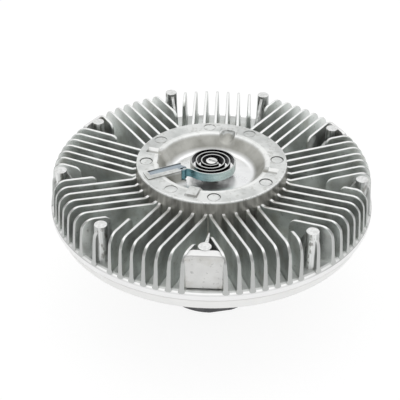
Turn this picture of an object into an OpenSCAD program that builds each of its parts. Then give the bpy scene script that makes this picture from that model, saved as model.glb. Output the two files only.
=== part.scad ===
// Viscous fan clutch with a finned front cover and a thermostat coil in the hub.
// Lengths in millimetres, angles in degrees. Z is the spin axis and points to the
// finned front. The origin is the middle of the drive flange's mounting face.

/* [Drive hub] */
// Diameter of the drive flange
flange_d = 80; // [76:1:86]
// Thickness of the drive flange
flange_t = 10; // [8:1:14]
// Width across the two spanner flats of the flange
flange_flats = 76; // [72:1:78]
// Number of bolt holes in the flange
flange_bolts = 4; // [3:1:4]
// Circle of the flange bolt holes
flange_pcd = 54; // [52:1:56]
// Diameter of a flange bolt hole
flange_hole_d = 9; // [7:0.5:9.5]
// Diameter of the pilot bore in the flange face
pilot_d = 22; // [16:1:28]
// Depth of the pilot bore
pilot_depth = 8; // [5:1:14]
// Diameter of the neck between flange and bearing
neck_d = 36; // [34:1:38]
// Space between the flange and the bearing boss, for the flange nuts
flange_gap = 30; // [24:1:40]
// Diameter of the seat that carries the rotor
rotor_seat_d = 22; // [20:1:25]

/* [Bearing] */
// Bore of the ball bearing
bearing_bore = 30; // [28:1:32]
// Outside diameter of the ball bearing
bearing_od = 62; // [60:1:66]
// Width of the ball bearing
bearing_w = 20; // [16:1:24]
// Diameter of a bearing ball
ball_d = 9.5; // [8.5:0.5:10]
// Number of bearing balls
ball_count = 9; // [7:1:10]

/* [Rear body] */
// Depth of the bearing behind the rear face of its boss
bearing_recess = 6; // [5:0.5:9]
// Thickness of the shoulder that holds the bearing's outer ring
bearing_shoulder = 3; // [2.5:0.5:5]
// Wall of the boss around the bearing
boss_wall = 10; // [7:1:12]
// Thickness of the rear body's web
body_wall = 6; // [5:0.5:9]
// Wall from the working chamber to the outside of the rim
rim_wall = 17.5; // [17:0.25:19.5]
// Diameter of the spigot that centres the fan
fan_spigot_d = 152; // [144:1:156]
// Height of the fan spigot above the web
fan_spigot_h = 10; // [9:1:14]
// Number of bosses that carry the fan
fan_bolts = 8; // [6:1:8]
// Circle of the fan bolts
fan_pcd = 180; // [178:1:186]
// Tapping diameter of the fan bolt holes
fan_hole_d = 6.8; // [5:0.1:8.5]
// Depth of a fan bolt hole
fan_hole_depth = 10; // [7:0.5:11]
// Diameter of a fan boss
fan_boss_d = 18; // [16:1:20]
// Height of a fan boss above the web
fan_boss_h = 8; // [6:1:9]
// Number of cooling fins inside the spigot
rear_fins = 24; // [12:1:30]
// Thickness of a rear cooling fin
rear_fin_t = 3; // [2:0.5:4]

/* [Rotor] */
// Thickness of the rotor disc
rotor_t = 8.4; // [7:0.2:10]
// Height of the ring lands that shear the fluid
land_h = 5; // [3:0.5:6]
// Thickness of a ring land
land_t = 2.2; // [1.6:0.1:2.6]
// Gap that the fluid fills between the lands
shear_gap = 0.8; // [0.6:0.1:1.2]
// Height of the rotor nut
nut_h = 7; // [5:0.5:7.5]
// Width of the rotor nut across flats
nut_flats = 27; // [26:1:29]

/* [Front cover] */
// Diameter of the cover rim
rim_d = 250; // [248:1:256]
// Height of the rim band between the fins and the lip
rim_h = 6.5; // [6:0.5:9]
// Height of the lip that is rolled over the rear body
lip_h = 11.5; // [10.5:0.5:13]
// Height from the fin floor to the hub face
fin_h = 29.5; // [26:0.5:34]
// Distance between the middles of neighbouring fins
fin_pitch = 9.25; // [9:0.05:9.35]
// Thickness of a fin at the height of the hub face
fin_t_top = 2; // [1.6:0.1:2.4]
// Thickness of a fin at the floor
fin_t_base = 3.4; // [2.6:0.1:3.6]
// Drop of the fin tops from the hub face at the hub
fin_drop_hub = 11.6; // [8:0.2:14]
// Drop of the fin tops from the hub face at the rim
fin_drop_rim = 2; // [1.4:0.2:4]
// Radius of the rounded outer corner of the fins
fin_corner_r = 9; // [6:0.5:11]
// Reach of the fin before a post, from the rim towards the axis
fin_reach_near = 24.4; // [21:0.2:28]
// Reach of the fin after a post, from the rim towards the axis
fin_reach_far = 36.1; // [31:0.2:41]
// Distance from the rim to the middle of a round post
post_inset = 9.5; // [8.5:0.25:11]
// Distance from the rim to the middle of a post that stands behind a flat pad
pad_post_inset = 15; // [14:0.25:17]
// Diameter of a post at its top
post_d = 9.2; // [8:0.2:10.4]
// Distance from the rim to the outer face of a flat pad
pad_inset = 5.2; // [4:0.2:6.4]
// Thickness of a flat pad
pad_t = 6.2; // [5:0.2:8]
// Diameter of the hub at its face
hub_d = 116; // [114:0.5:118]
// Diameter of the bowl at the hub face
bowl_d = 83; // [80:0.5:85]
// Diameter of the flat floor of the bowl
bowl_floor_d = 66; // [62:0.5:68]
// Depth of the bowl
bowl_depth = 12; // [11.6:0.2:14]

/* [Reservoir and valve] */
// Distance from the chamber's wall to the edge of the reservoir plate
plate_inset = 3.5; // [3:0.25:5.5]
// Thickness of the reservoir plate
partition_t = 1.6; // [1.2:0.1:2]
// Number of rivets that hold the plate
rivet_count = 6; // [4:1:8]
// Diameter of a rivet shank
rivet_d = 4; // [3:0.5:4.5]
// Diameter of the return hole at the edge of the plate
return_hole_d = 5; // [3:0.5:6]
// Distance from the axis to the feed opening
feed_r = 36; // [30:1:42]
// Width of the feed opening
feed_w = 6; // [4:0.5:8]
// Diameter of the valve shaft
valve_d = 8; // [7:0.2:9]
// Outside diameter of the shaft bush
bush_d = 13; // [12:0.5:15]
// Thickness of the valve arm
arm_t = 1.6; // [1.2:0.1:2]

/* [Thermostat coil] */
// Diameter over the coil's outer turn
coil_d = 40; // [38.4:0.2:40.8]
// Height of the strip
strip_w = 7; // [5.5:0.5:8]
// Thickness of the strip
strip_t = 1.2; // [0.9:0.1:1.5]
// Distance from one turn to the next
coil_pitch = 4.05; // [3.8:0.05:4.1]
// Number of turns
coil_turns = 3.2; // [2.8:0.1:3.25]

/* [Hidden] */
$fn = 120;

// Clearances
fit_gap = 0.1;
race_gap = 0.08;
run_gap = 0.04;
part_gap = 0.3;

// Heights along the axis, from the drive flange up
boss_z = flange_t + flange_gap;
bearing_z0 = boss_z + bearing_recess;
bearing_z1 = bearing_z0 + bearing_w;
bearing_zm = (bearing_z0 + bearing_z1) / 2;
chamber_z = bearing_z1 + bearing_shoulder;
web_z = chamber_z - body_wall;
disc_z0 = chamber_z + land_h + shear_gap;
disc_z1 = disc_z0 + rotor_t;
joint_z = disc_z1 + shear_gap;
floor_z = joint_z + rim_h;
front_z = floor_z + fin_h;
bowl_z = front_z - bowl_depth;
ceiling_z = bowl_z - 4;
bush_boss_z = ceiling_z - 8;
plate_z = joint_z + partition_t;

// Bearing
bore_r = bearing_bore / 2;
bearing_r = bearing_od / 2;
ball_r = ball_d / 2;
pitch_r = (bore_r + bearing_r) / 2;
inner_ring_r = pitch_r - 0.35 * ball_d;
outer_ring_r = pitch_r + 0.35 * ball_d;
clip_t = 2;
clip_groove_r = bearing_r + 1.4;
shoulder_r = outer_ring_r + 1;

// Rear body
rim_r = rim_d / 2;
boss_r = bearing_r + boss_wall;
chamber_r = rim_r - rim_wall;
spigot_r = fan_spigot_d / 2;
spigot_z = web_z - fan_spigot_h;
fan_face_z = web_z - fan_boss_h;
plug_r = 3;
plug_place_r = boss_r + 6;

// Rotor
seat_r = rotor_seat_d / 2;
rotor_r = chamber_r - 1.5;
washer_t = 1.5;
nut_seat_z = disc_z1 - nut_h - washer_t;
thread_r = seat_r - 1;
nut_pocket_r = nut_flats / 2 / cos(30) + 1;
land_pitch = 2 * (land_t + shear_gap);
land_first_r = boss_r + 13;
land_count = floor((rotor_r - 4 - land_first_r) / land_pitch);

// Front cover
body_flange_r = rim_r - 7.5;
seal_r = (chamber_r + body_flange_r) / 2;
seal_section_d = 2.4;
hub_r = hub_d / 2;
hub_base_r = hub_r + 2.6;
hub_inner_r = hub_r - 6;
sector_count = 9;
sector_a = 360 / sector_count;
post_a = -90;
envelope_top_in = front_z - fin_drop_hub;
envelope_top_out = front_z - fin_drop_rim;
fin_start_near = rim_r - fin_reach_near;
fin_start_far = rim_r - fin_reach_far;
post_r = rim_r - post_inset;
pad_post_r = rim_r - pad_post_inset;
pad_face = rim_r - pad_inset;
pad_rib_l = 22;
partition_r = chamber_r - plate_inset;
ledge_r = partition_r - 12;
rivet_r = partition_r - 6;
return_r = partition_r - 5;
hub_marks_a = -15;
mark_r = 4.8;
mark_place_r = hub_r - 7.6;
mark_depth = 0.8;
datum_place_r = hub_r - 11.7;
datum_l = 14.2;
datum_w = 12;
datum_rise = 1.5;
datum_draft = 1.8;
scoop_r = 7.5;
scoop_end_r = 4.8;
scoop_l = 15;
pocket_reach = 42;
pocket_side = 19;
pocket_front = -6.4;
pocket_draft = 6.5;

// Coil, its anchor bar and its keeper
bar_a = 28.5;
bar_tip = [-22.7, -9.1];
bar_low = -7.6;
bar_high = 3.6;
bar_back = 40;
bar_front = 0.8;
slot_back = 27;
bar_rise = 0.8;
slot_w = 6;
slot_depth = 2;
keeper_t = 2.2;
barrel_r = 3.4;
barrel_place = [-22, -12.5];
coil_r = coil_d / 2 - strip_t / 2;
coil_a0 = -130;
coil_lead = 2.4;
coil_a1 = coil_a0 + 360 * coil_turns;
tang_a = coil_a1 + 30;
arbor_r = valve_d / 2 + 0.5;

// Points on an arc about c, from angle a0 to angle a1
function arc(c, r, a0, a1, n = 6) =
    [for (i = [0:n]) let (a = a0 + (a1 - a0) * i / n) c + r * [cos(a), sin(a)]];

function polar(r, a) = [r * cos(a), r * sin(a)];
function unit(v) = v / norm(v);
function turned(v, a) = [v[0] * cos(a) - v[1] * sin(a), v[0] * sin(a) + v[1] * cos(a)];

// Points on a curve from p to q that is drawn towards c
function curve(p, c, q, n = 8) =
    [for (i = [0:n]) let (s = i / n) (1 - s) * (1 - s) * p + 2 * s * (1 - s) * c + s * s * q];

// Outline of a strip of thickness t that follows a path
function heading(p, i) = unit(p[min(i + 1, len(p) - 1)] - p[max(i - 1, 0)]);
function beside(p, d) =
    [for (i = [0:len(p) - 1]) let (h = heading(p, i)) p[i] + d * [-h[1], h[0]]];
function strip_outline(p, t) =
    let (left = beside(p, t / 2), right = beside(p, -t / 2))
    concat(left, [for (i = [len(right) - 1:-1:0]) right[i]]);

// Point on the middle line of a fin, across from its sector's bisector and along it
function fin_point(sector, j, along) =
    turned([along, j * fin_pitch], post_a + sector_a * (sector + 0.5));

module tube(r_out, r_in, z0, z1) {
    rotate_extrude()
        polygon([[r_in, z0], [r_out, z0], [r_out, z1], [r_in, z1]]);
}

module ring_of(count, r, a0 = 0) {
    for (i = [0:count - 1])
        rotate(a0 + 360 / count * i)
            translate([r, 0, 0])
                children();
}

// Half section of the cast cover: rim with rolled lip, floor, hub, bowl and reservoir
function cover_section() = concat(
    [[bush_d / 2, bowl_z], [bowl_floor_d / 2 - 3, bowl_z]],
    arc([bowl_floor_d / 2 - 3, bowl_z + 5], 5, -90, -37, 4),
    arc([bowl_d / 2 + 1.6, front_z - 2.6], 2.6, 143, 90, 4),
    [[hub_r - 1, front_z], [hub_r, front_z - 1], [hub_base_r, floor_z],
     [rim_r - 2.4, floor_z], [rim_r, floor_z - 2], [rim_r, joint_z + 0.4],
     [rim_r - 2, joint_z - 0.6], [rim_r - 4.6, joint_z - lip_h + 1.2],
     [rim_r - 6.2, joint_z - lip_h], [rim_r - 10, joint_z - lip_h + 0.2],
     [body_flange_r - 3.2, joint_z - 8.4], [body_flange_r + fit_gap, joint_z - 5],
     [body_flange_r + fit_gap, joint_z], [partition_r + part_gap, joint_z],
     [partition_r + part_gap, plate_z], [ledge_r, plate_z],
     [ledge_r - 1.6, floor_z - 3.4], [hub_inner_r + 1.4, floor_z - 3.4],
     [hub_inner_r, floor_z - 1], [hub_inner_r - 1, ceiling_z - 3], [hub_inner_r - 4, ceiling_z],
     [bush_d / 2 + 6, ceiling_z], [bush_d / 2 + 4.4, bush_boss_z], [bush_d / 2, bush_boss_z]]);

// Half section of the space that the tops and outer ends of the fins fill
function fin_envelope() =
    let (slope = atan2(fin_drop_hub - fin_drop_rim, rim_r - 12 - hub_r),
         out_x = rim_r - 2.4 - fin_corner_r,
         out_z = envelope_top_out - fin_corner_r)
    concat([[hub_r - 3, floor_z - 3], [rim_r - 0.8, floor_z - 3]],
           arc([out_x, out_z], fin_corner_r, 5, 90 + slope, 7),
           [[hub_r - 3, envelope_top_in]]);

// Drafted fin along X at distance y from the bisector
module fin_bar(y, start) {
    root = 2.5;
    half_top = fin_t_top / 2;
    half_base = fin_t_base / 2;
    half_root = half_base + (half_base - half_top) * root / fin_h;
    translate([start, y, 0])
        rotate([90, 0, 90])
            linear_extrude(rim_r - start)
                polygon([[-half_root, floor_z - root], [half_root, floor_z - root],
                         [half_top, front_z], [-half_top, front_z]]);
}

// Fin that starts away from the hub with a rounded inner top corner
module short_fin(y, start) {
    top = envelope_top_in + (envelope_top_out - envelope_top_in)
        * (start - hub_r) / (rim_r - 12 - hub_r);
    intersection() {
        fin_bar(y, start);
        rotate([90, 0, 0])
            linear_extrude(height = 4 * fin_pitch * 2, center = true)
                polygon(concat([[rim_r, floor_z - 3], [rim_r, front_z], [start + 6, front_z]],
                               arc([start + 5.4, top - 4.2], 4.4, 90, 180, 4),
                               [[start, floor_z - 3]]));
    }
}

// Seven parallel fins of one sector, its bisector along X
module fin_sector() {
    for (j = [-2:2])
        fin_bar(j * fin_pitch, hub_r * 0.85);
    short_fin(-3 * fin_pitch, sqrt(pow(fin_start_far, 2) - pow(3 * fin_pitch, 2)));
    short_fin(3 * fin_pitch, sqrt(pow(fin_start_near, 2) - pow(3 * fin_pitch, 2)));
}

// Rib from a post to the rim, along X
module post_rib(r) {
    translate([r, 0, 0])
        rotate([90, 0, 90])
            linear_extrude(rim_r - r)
                polygon([[-1.85, floor_z - 2.5], [1.85, floor_z - 2.5], [1.4, front_z],
                         [-1.4, front_z]]);
}

// Round post on the cover floor
module post() {
    rotate_extrude()
        polygon([[0, floor_z - 1], [post_d / 2 + 0.9, floor_z - 1],
                 [post_d / 2 + 0.1, front_z - 0.5], [post_d / 2 - 0.4, front_z], [0, front_z]]);
}

// Web that stiffens a post towards the hub, along X
module post_web(r) {
    rotate([90, 0, 0])
        linear_extrude(height = 2.6, center = true)
            polygon([[r, floor_z - 1], [r, front_z - 1.4], [r - 4.2, front_z - 1.6],
                     [r - 21.6, floor_z - 1]]);
}

// Tapered rib behind a post that stands at a flat pad, along X
module pad_rib(r) {
    intersection() {
        translate([0, 0, floor_z - 1])
            linear_extrude(fin_h + 1)
                polygon([[r, -2], [r, 2], [r - pad_rib_l, 0.6], [r - pad_rib_l, -0.6]]);
        rotate([90, 0, 0])
            linear_extrude(height = 6, center = true)
                polygon([[r, floor_z - 2], [r, front_z - 1.4],
                         [r - pad_rib_l - 1, front_z - 4.6], [r - pad_rib_l - 1, floor_z - 2]]);
    }
}

// Flat pad between the two fins beside a post, its outer face towards -Y
module flat_pad() {
    near = fin_point(0, -3, 1);
    step = fin_point(0, -3, 2) - near;
    outer = near + step * ((-pad_face - near[1]) / step[1]);
    inner = near + step * ((-(pad_face - pad_t) - near[1]) / step[1]);
    intersection() {
        translate([0, 0, floor_z - 1])
            linear_extrude(fin_h + 1)
                polygon([outer, inner, [-inner[0], inner[1]], [-outer[0], outer[1]]]);
        rotate([90, 0, 90])
            linear_extrude(height = 60, center = true)
                polygon([[-pad_face, floor_z - 1], [-pad_face, front_z - 3.4],
                         [-pad_face + 0.7, front_z - 1.9], [-pad_face + 2.4, front_z - 1.2],
                         [-pad_face + pad_t, front_z - 1.2],
                         [-pad_face + pad_t, floor_z - 1]]);
    }
}

// Boss across the bowl that carries the outer end of the coil
module anchor_bar() {
    intersection() {
        translate([bar_tip[0], bar_tip[1], bowl_z - 1])
            rotate(bar_a)
                translate([-bar_back, bar_low, 0])
                    cube([bar_back + bar_front, bar_high - bar_low, bowl_depth + 1 + bar_rise]);
        cylinder(r = hub_r - 3, h = front_z + bar_rise);
    }
}

// Square boss on the hub face with sloping sides, along X
module datum_boss() {
    half_l = datum_l / 2;
    half_w = datum_w / 2;
    top = front_z + datum_rise;
    translate([datum_place_r, 0, 0])
        intersection() {
            rotate([90, 0, 0])
                linear_extrude(height = datum_w, center = true)
                    polygon([[-half_l, front_z - 2], [half_l, front_z - 2],
                             [half_l - datum_draft, top], [datum_draft - half_l, top]]);
            rotate([90, 0, 90])
                linear_extrude(height = datum_l, center = true)
                    polygon([[-half_w, front_z - 2], [half_w, front_z - 2],
                             [half_w - datum_draft, top], [datum_draft - half_w, top]]);
        }
}

// Space beside the anchor bar, with two sloping walls
module bar_pocket() {
    low = bowl_z + 1;
    high = front_z + 5;
    spread = pocket_draft * 5 / (front_z - low);
    intersection() {
        translate([0, pocket_side + 20, 0])
            rotate([90, 0, 0])
                linear_extrude(pocket_side - pocket_front + 20)
                    polygon([[pocket_draft - pocket_reach, low], [-26, low], [-26, high],
                             [-pocket_reach - spread, high]]);
        translate([-pocket_reach - 20, 0, 0])
            rotate([90, 0, 90])
                linear_extrude(pocket_reach)
                    polygon([[pocket_front, low], [pocket_side - pocket_draft, low],
                             [pocket_side + spread, high], [pocket_front, high]]);
    }
}

module front_cover() {
    color("silver")
    difference() {
        union() {
            rotate_extrude()
                polygon(cover_section());
            intersection() {
                union() {
                    for (k = [0:sector_count - 1])
                        rotate(post_a + sector_a * (k + 0.5))
                            fin_sector();
                    for (k = [0:sector_count - 1])
                        if (k % 3 != 0)
                            rotate(post_a + sector_a * k)
                                post_rib(post_r);
                }
                rotate_extrude()
                    polygon(fin_envelope());
            }
            for (k = [0:sector_count - 1]) {
                r = k % 3 == 0 ? pad_post_r : post_r;
                rotate(post_a + sector_a * k) {
                    translate([r, 0, 0])
                        post();
                    if (k % 3 == 0)
                        pad_rib(r);
                    else
                        post_web(r);
                }
            }
            for (k = [0:3:sector_count - 1])
                rotate(sector_a * k)
                    flat_pad();
            difference() {
                anchor_bar();
                translate([barrel_place[0], barrel_place[1], front_z - strip_w - 2])
                    cylinder(r = barrel_r + part_gap, h = strip_w + 3);
                translate([barrel_place[0], barrel_place[1], front_z - strip_w - 2])
                    rotate(bar_a)
                        translate([0, -barrel_r - 4, 0])
                            cube([10, barrel_r * 2 + 4.3, strip_w + 3]);
            }
            rotate(hub_marks_a - 90)
                datum_boss();
        }
        // Slot of the keeper
        translate([bar_tip[0], bar_tip[1], front_z - slot_depth])
            rotate(bar_a)
                translate([-slot_back, -slot_w / 2, 0])
                    cube([slot_back + 3, slot_w, slot_depth + 1]);
        bar_pocket();
        // Two grooves and a round notch in the hub face
        for (a = [0, 180])
            rotate(hub_marks_a + a)
                translate([bowl_d / 2 - 3, 0, front_z])
                    rotate([90, 0, 90])
                        linear_extrude(14)
                            polygon([[-1.9, -2.4], [1.9, -2.4], [4.2, 0.5], [-4.2, 0.5]]);
        rotate(hub_marks_a + 90)
            translate([bowl_d / 2 - scoop_r, 0, front_z + 0.8])
                rotate([0, 90, 0])
                    cylinder(r1 = scoop_r, r2 = scoop_end_r, h = scoop_l);
        // Marks of the ejector pins
        for (a = [0:90:270], s = [-19.3, 19.3])
            rotate(hub_marks_a + a + s)
                translate([mark_place_r, 0, front_z - mark_depth])
                    cylinder(r = mark_r, h = 2);
        // Holes of the rivets
        ring_of(rivet_count, rivet_r, 30)
            translate([0, 0, plate_z - 1])
                cylinder(d = rivet_d, h = 4);
    }
}

// Half section of the rear body with the ring lands of the working chamber
function body_section() = concat(
    [[bearing_r, boss_z + 0.8], [bearing_r + 0.8, boss_z], [boss_r - 1.5, boss_z],
     [boss_r, boss_z + 1.5], [boss_r + 1.4, web_z - 2], [boss_r + 3.4, web_z],
     [spigot_r - 9, web_z], [spigot_r - 7, web_z - 2], [spigot_r - 6, spigot_z],
     [spigot_r - 1, spigot_z], [spigot_r, spigot_z + 1], [spigot_r, web_z],
     [chamber_r - 3, web_z], [chamber_r + 1.5, web_z + 2], [chamber_r + 3.6, web_z + 6],
     [chamber_r + 4, joint_z - 9], [body_flange_r - 3.6, joint_z - 8.6],
     [body_flange_r, joint_z - 5], [body_flange_r, joint_z],
     [seal_r + 1.6, joint_z], [seal_r + 1.6, joint_z - seal_section_d],
     [seal_r - 1.6, joint_z - seal_section_d], [seal_r - 1.6, joint_z],
     [chamber_r, joint_z], [chamber_r, chamber_z]],
    [for (i = [land_count - 1:-1:0], e = [[0.5, 0], [0.5, 1], [-0.5, 1], [-0.5, 0]])
        [land_first_r + i * land_pitch + e[0] * land_t, chamber_z + e[1] * land_h]],
    [[shoulder_r, chamber_z], [shoulder_r, bearing_z1], [bearing_r, bearing_z1],
     [bearing_r, bearing_z0], [clip_groove_r, bearing_z0],
     [clip_groove_r, bearing_z0 - clip_t - fit_gap], [bearing_r, bearing_z0 - clip_t - fit_gap]]);

module rear_body() {
    color("silver")
    difference() {
        union() {
            rotate_extrude()
                polygon(body_section());
            ring_of(fan_bolts, fan_pcd / 2, 22.5)
                rotate_extrude()
                    polygon([[0, fan_face_z], [fan_boss_d / 2 - 0.6, fan_face_z],
                             [fan_boss_d / 2, fan_face_z + 0.6],
                             [fan_boss_d / 2 + 1, web_z + 1], [0, web_z + 1]]);
            for (i = [0:rear_fins - 1])
                rotate(360 / rear_fins * (i + 0.5))
                    rotate([90, 0, 0])
                        linear_extrude(height = rear_fin_t, center = true)
                            polygon([[boss_r - 2, web_z + 1], [boss_r - 2, web_z - 3],
                                     [boss_r + 5, spigot_z + 2], [spigot_r - 3, spigot_z + 2],
                                     [spigot_r - 3, web_z + 1]]);
        }
        ring_of(fan_bolts, fan_pcd / 2, 22.5)
            translate([0, 0, fan_face_z - 1])
                cylinder(d = fan_hole_d, h = fan_hole_depth + 1);
        rotate(360 / rear_fins)
            translate([plug_place_r, 0, web_z - 20])
                cylinder(r = plug_r, h = 40);
    }
}

module rim_seal() {
    color("black")
    rotate_extrude()
        translate([seal_r, joint_z - seal_section_d / 2])
            circle(d = seal_section_d - 0.02);
}

module partition_plate() {
    color("gainsboro")
    difference() {
        translate([0, 0, joint_z])
            cylinder(r = partition_r, h = partition_t);
        ring_of(rivet_count, rivet_r, 30)
            translate([0, 0, joint_z])
                cylinder(d1 = rivet_d + 2 * partition_t, d2 = rivet_d, h = partition_t);
        // Feed opening
        rotate(20)
            translate([feed_r - feed_w / 2, -5, joint_z - 1])
                cube([feed_w, 10, partition_t + 2]);
        // Return hole and the holes of the dam's pins
        translate([return_r, 0, joint_z - 1])
            cylinder(d = return_hole_d, h = partition_t + 2);
        for (a = [5, 9])
            rotate(a)
                translate([return_r, 0, joint_z - 1])
                    cylinder(r = 1.2, h = partition_t + 2);
    }
}

module partition_rivets() {
    color("gray")
    ring_of(rivet_count, rivet_r, 30)
        rotate_extrude()
            polygon([[0, joint_z], [rivet_d / 2 + partition_t, joint_z],
                     [rivet_d / 2, plate_z], [rivet_d / 2, plate_z + 2.8], [0, plate_z + 2.8]]);
}

// Block beside the return hole that banks the fluid up
module scavenge_dam() {
    color("dimgray")
    union() {
        rotate(7)
            translate([return_r - 3, -8, joint_z - 0.5])
                cube([6, 16, 0.5]);
        for (a = [5, 9])
            rotate(a)
                translate([return_r, 0, joint_z - 0.2])
                    cylinder(r = 1.2, h = partition_t + 0.2);
    }
}

// Heights of the parts on the valve shaft
arm_z = plate_z + 0.25;
clip_z = bush_boss_z - 1.2;
seal_z = bush_boss_z + 7;

module valve_shaft() {
    r = valve_d / 2;
    color("gainsboro")
    difference() {
        rotate_extrude()
            polygon([[0, arm_z], [r, arm_z], [r, clip_z], [r - 0.9, clip_z],
                     [r - 0.9, clip_z + 1], [r, clip_z + 1],
                     [r, seal_z - 0.9], [r - 1.6, seal_z - 0.9],
                     [r - 1.6, seal_z + 0.9], [r, seal_z + 0.9],
                     [r, bowl_z + 0.4], [arbor_r, bowl_z + 0.4],
                     [arbor_r, front_z - 0.5], [arbor_r - 0.5, front_z], [0, front_z]]);
        rotate(tang_a)
            translate([-2.4, -strip_t / 2 - part_gap, front_z - strip_w - 0.2])
                cube([10, strip_t + 2 * part_gap, strip_w + 1]);
    }
}

// Flat arm that covers and frees the feed opening
module valve_arm() {
    color("gainsboro")
    difference() {
        union() {
            translate([0, 0, arm_z])
                cylinder(r = valve_d / 2 + 4, h = arm_t);
            rotate(20) {
                translate([0, -5, arm_z])
                    cube([feed_r, 10, arm_t]);
                translate([feed_r, 0, arm_z])
                    cylinder(r = 7.5, h = arm_t);
            }
        }
        translate([0, 0, arm_z - 1])
            cylinder(d = valve_d, h = arm_t + 2);
    }
}

module valve_clip() {
    color("dimgray")
    difference() {
        tube(valve_d / 2 + 2.4, valve_d / 2 - 0.9, clip_z, clip_z + 0.95);
        translate([0, -1.6, clip_z - 1])
            cube([20, 3.2, 3]);
    }
}

module valve_seal() {
    color("black")
    rotate_extrude()
        translate([valve_d / 2 - 0.8, seal_z])
            circle(d = 1.58);
}

module valve_bush() {
    color("goldenrod")
    tube(bush_d / 2, valve_d / 2 + run_gap, bush_boss_z + 0.5, bowl_z - 0.2);
}

// Middle line of the strip, from its tail in the keeper to the tang in the shaft
function coil_path() =
    let (start = polar(coil_r, coil_a0),
         start_dir = polar(1, coil_a0 + 90),
         corner = start - start_dir * ((start[1] - barrel_place[1]) / start_dir[1]),
         turns = [for (i = [1:36 * coil_turns])
                     polar(coil_r - coil_pitch * i / 36, coil_a0 + 10 * i)],
         end = turns[len(turns) - 1],
         end_a = coil_a0 + 10 * len(turns),
         end_r = norm(end))
    concat([barrel_place + [0.4, 0], barrel_place + [3, 0]],
           curve(corner - [coil_lead, 0], corner, start),
           turns,
           [for (p = curve(end, polar(end_r / cos(tang_a - end_a), tang_a),
                           polar(min(4.4, end_r - 1.2), tang_a), 6))
               if (norm(p - end) > 0.01) p],
           [polar(0, tang_a) - polar(1.6, tang_a)]);

module bimetal_coil() {
    color("lightslategray")
    translate([0, 0, front_z - strip_w])
        linear_extrude(strip_w)
            polygon(strip_outline(coil_path(), strip_t));
}

// Steel keeper in the slot of the anchor bar, its rolled end holding the coil's tail
module coil_keeper() {
    color("lightslategray")
    difference() {
        union() {
            translate([bar_tip[0], bar_tip[1], front_z - slot_depth])
                rotate(bar_a)
                    translate([fit_gap * 2 - slot_back, fit_gap * 2 - slot_w / 2, 0])
                        cube([slot_back + fit_gap * 2, slot_w - fit_gap * 4, keeper_t]);
            translate([barrel_place[0], barrel_place[1], front_z - strip_w - 1])
                cylinder(r = barrel_r, h = strip_w + 1 - slot_depth + keeper_t);
        }
        translate([barrel_place[0], barrel_place[1], front_z - strip_w - part_gap])
            cylinder(r = 1.7, h = strip_w + 4);
        translate([barrel_place[0], barrel_place[1] - strip_t / 2 - part_gap,
                   front_z - strip_w - part_gap])
            cube([12, strip_t + 2 * part_gap, strip_w + 4]);
    }
}

module drive_hub() {
    color("dimgray")
    difference() {
        rotate_extrude()
            polygon([[0, pilot_depth], [pilot_d / 2, pilot_depth], [pilot_d / 2, 0.8],
                     [pilot_d / 2 + 0.8, 0], [flange_d / 2 - 1, 0], [flange_d / 2, 1],
                     [flange_d / 2, flange_t - 1], [flange_d / 2 - 1, flange_t],
                     [neck_d / 2 + 2.4, flange_t], [neck_d / 2 + 0.7, flange_t + 0.7],
                     [neck_d / 2, flange_t + 2.4],
                     [neck_d / 2, bearing_z0], [bore_r, bearing_z0], [bore_r, bearing_z1],
                     [seat_r, bearing_z1], [seat_r, nut_seat_z + washer_t],
                     [thread_r, nut_seat_z + washer_t], [thread_r, disc_z1 - 1.4],
                     [thread_r - 1, disc_z1 - 0.4], [0, disc_z1 - 0.4]]);
        for (a = [-75, 105])
            rotate(a)
                translate([flange_flats / 2, -flange_d, -1])
                    cube([flange_d, 2 * flange_d, flange_t + 2]);
        ring_of(flange_bolts, flange_pcd / 2, 45)
            translate([0, 0, -1])
                cylinder(d = flange_hole_d, h = flange_t + 2);
    }
}

// Disc whose ring lands run between the lands of the rear body
module rotor() {
    color("gainsboro")
    difference() {
        rotate_extrude()
            polygon(concat(
                [[seat_r, bearing_z1], [inner_ring_r - 0.6, bearing_z1],
                 [inner_ring_r, bearing_z1 + 1.4], [shoulder_r - 3, bearing_z1 + 1.8],
                 [shoulder_r - 3, disc_z0]],
                [for (i = [0:land_count - 1], e = [[-0.5, 0], [-0.5, 1], [0.5, 1], [0.5, 0]])
                    [land_first_r + (i + 0.5) * land_pitch + e[0] * land_t,
                     disc_z0 - e[1] * land_h]],
                [[rotor_r, disc_z0], [rotor_r, disc_z1], [nut_pocket_r, disc_z1],
                 [nut_pocket_r, nut_seat_z], [seat_r, nut_seat_z]]));
        ring_of(6, land_first_r - 6)
            translate([0, 0, disc_z0 - 1])
                cylinder(d = 6, h = rotor_t + 2);
    }
}

module rotor_washer() {
    color("gray")
    tube(nut_flats / 2, seat_r, nut_seat_z, nut_seat_z + washer_t);
}

module rotor_nut() {
    color("gray")
    difference() {
        translate([0, 0, nut_seat_z + washer_t])
            linear_extrude(nut_h)
                polygon([for (i = [0:5]) polar(nut_flats / 2 / cos(30), 60 * i)]);
        translate([0, 0, nut_seat_z])
            cylinder(r = thread_r, h = nut_h + 10);
    }
}

module ball_groove() {
    rotate_extrude()
        translate([pitch_r, bearing_zm])
            circle(r = ball_r + race_gap);
}

module bearing_outer_ring() {
    color("lightgray")
    difference() {
        tube(bearing_r, outer_ring_r, bearing_z0, bearing_z1);
        ball_groove();
    }
}

module bearing_inner_ring() {
    color("lightgray")
    difference() {
        tube(inner_ring_r, bore_r, bearing_z0, bearing_z1);
        ball_groove();
    }
}

module bearing_balls() {
    color("gainsboro")
    ring_of(ball_count, pitch_r)
        translate([0, 0, bearing_zm])
            sphere(r = ball_r);
}

module bearing_cage() {
    color("peru")
    difference() {
        tube(pitch_r + 1.3, pitch_r - 1.3, bearing_zm - ball_r - 1.2, bearing_zm + ball_r + 1.2);
        ring_of(ball_count, pitch_r)
            translate([0, 0, bearing_zm])
                sphere(r = ball_r + 0.12);
    }
}

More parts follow.
